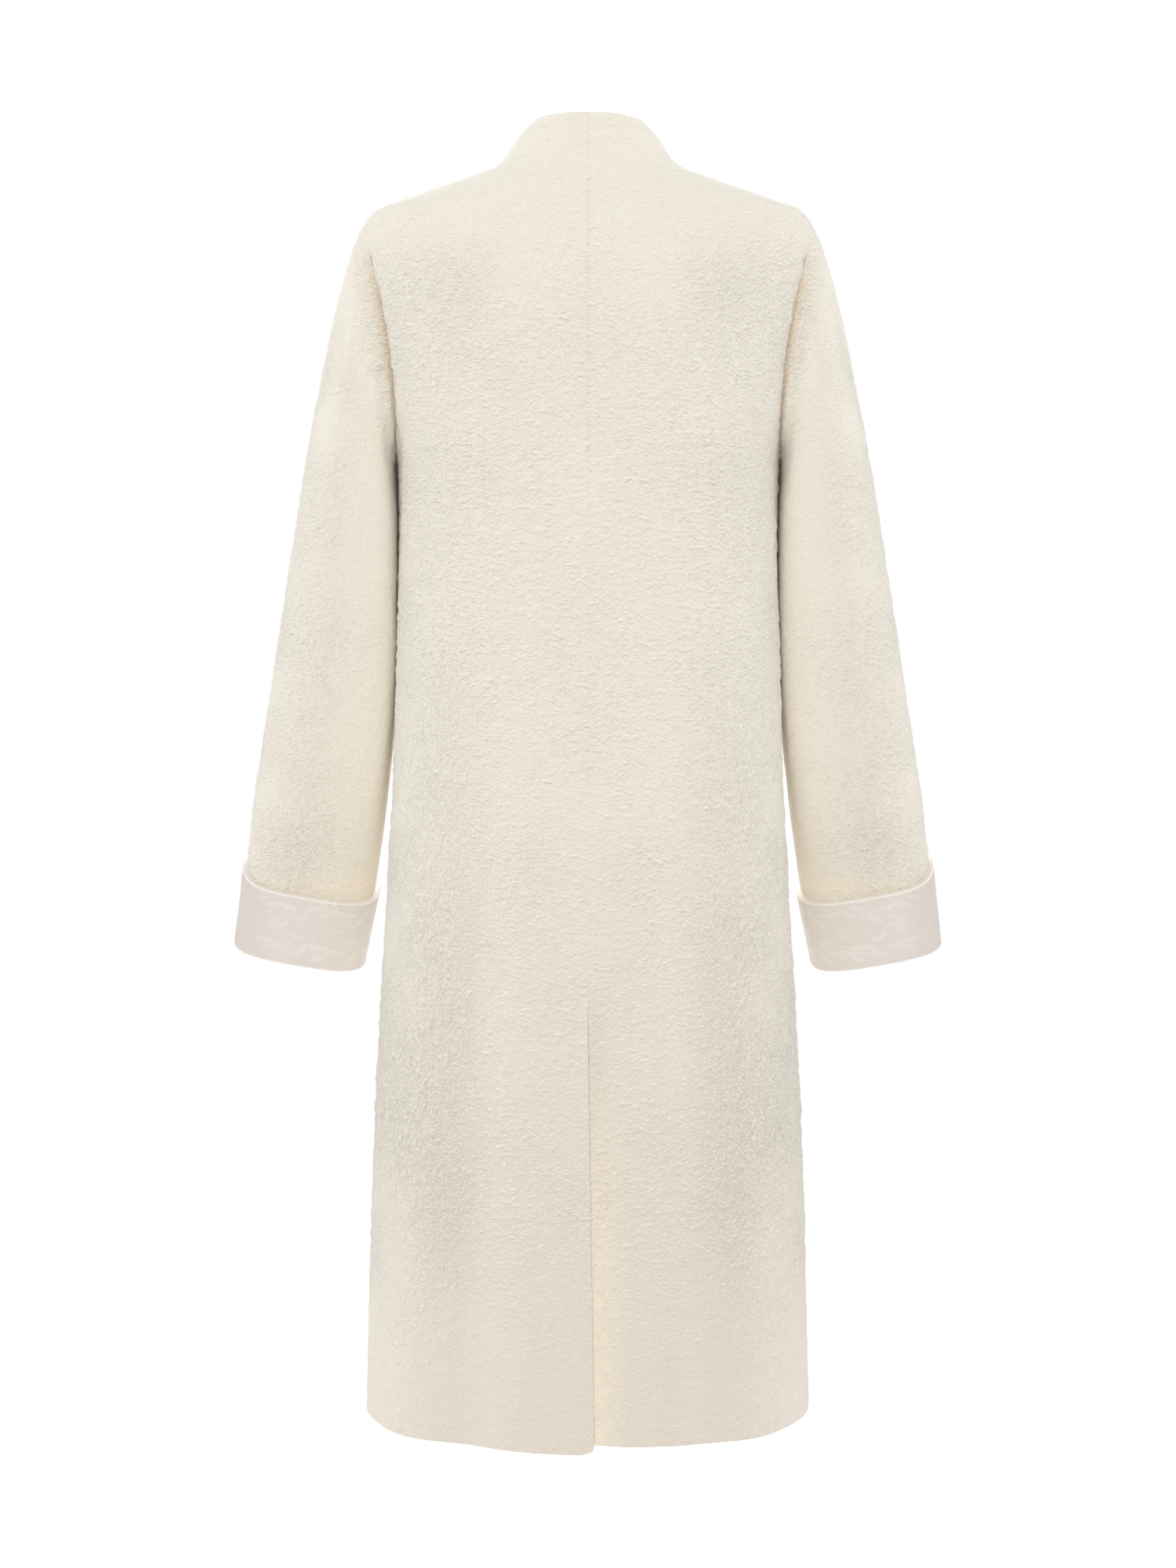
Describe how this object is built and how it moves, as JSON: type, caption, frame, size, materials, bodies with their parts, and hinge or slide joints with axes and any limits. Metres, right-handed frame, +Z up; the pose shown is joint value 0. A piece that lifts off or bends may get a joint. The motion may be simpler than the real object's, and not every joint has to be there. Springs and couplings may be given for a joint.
{
  "type": "long blazer",
  "caption": "Long straight wool blazer-coat with grown-on funnel neck, turned-up satin cuffs and a lapped back vent, hollow and filled out as worn.",
  "frame": {"origin": "between the shoulders, level with the foot of the neck, where the wearer holds the garment up", "axes": "+Z up, -Y towards the garment's front, +X towards the wearer's left"},
  "size_m": [0.6444, 0.2953, 1.128],
  "materials": {
    "wool": "boiled wool with a soft crinkled pile",
    "satin": "smooth figured satin"
  },
  "bodies": {
    "root": {"back_left": "wool", "back_right": "wool", "front_left": "wool", "front_right": "wool", "sleeve_left": "wool", "sleeve_right": "wool", "cuff_left": "satin", "cuff_right": "satin"}
  },
  "joints": []
}
